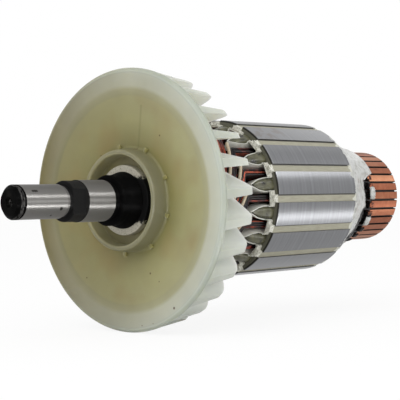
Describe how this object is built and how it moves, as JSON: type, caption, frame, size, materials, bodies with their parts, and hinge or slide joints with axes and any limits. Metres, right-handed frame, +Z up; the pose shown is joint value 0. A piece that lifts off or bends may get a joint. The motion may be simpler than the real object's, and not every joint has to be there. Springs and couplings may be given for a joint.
{
  "type": "motor armature",
  "caption": "Wound motor armature: stepped steel shaft with a dished radial fan, a slotted laminated core with its windings, and a copper commutator at the rear.",
  "frame": {"origin": "on the shaft axis, in the middle of the front bearing seat's length", "axes": "+X along the shaft from the drive end towards the commutator, +Z up, +Y completes the right-handed frame"},
  "size_m": [0.2236, 0.0972, 0.0972],
  "materials": {
    "shaft_steel": "ground seats, dark unground steps",
    "sleeve_resin": "speckled cream resin",
    "fan_nylon": "translucent natural nylon",
    "core_steel": "turned lamination edges",
    "liner_film": "white film",
    "wedge_fibre": "cream fibre",
    "insulator_plastic": "olive grey moulding",
    "separator_tape": "cream tape",
    "poured_resin": "white, uneven",
    "bar_copper": "turned copper",
    "mica": "undercut",
    "black_moulding": "moulded phenolic",
    "bush_steel": "turned",
    "wire_copper": "enamelled copper"
  },
  "bodies": {
    "root": {"shaft": "shaft_steel", "shaft_sleeve": "sleeve_resin", "fan": "fan_nylon", "core": "core_steel", "slot_liners": "liner_film", "slot_wedges": "wedge_fibre", "front_end_insulator": "insulator_plastic", "rear_end_insulator": "insulator_plastic", "coil_01": "wire_copper", "coil_02": "wire_copper", "coil_03": "wire_copper", "coil_04": "wire_copper", "coil_05": "wire_copper", "coil_06": "wire_copper", "coil_07": "wire_copper", "coil_08": "wire_copper", "coil_09": "wire_copper", "coil_10": "wire_copper", "coil_11": "wire_copper", "coil_12": "wire_copper", "coil_13": "wire_copper", "coil_14": "wire_copper", "coil_15": "wire_copper", "coil_16": "wire_copper", "coil_separators": "separator_tape", "rear_resin": "poured_resin", "commutator_bars": "bar_copper", "commutator_mica": "mica", "commutator_moulding": "black_moulding", "commutator_bush": "bush_steel", "lead_wires": "wire_copper"}
  },
  "joints": []
}
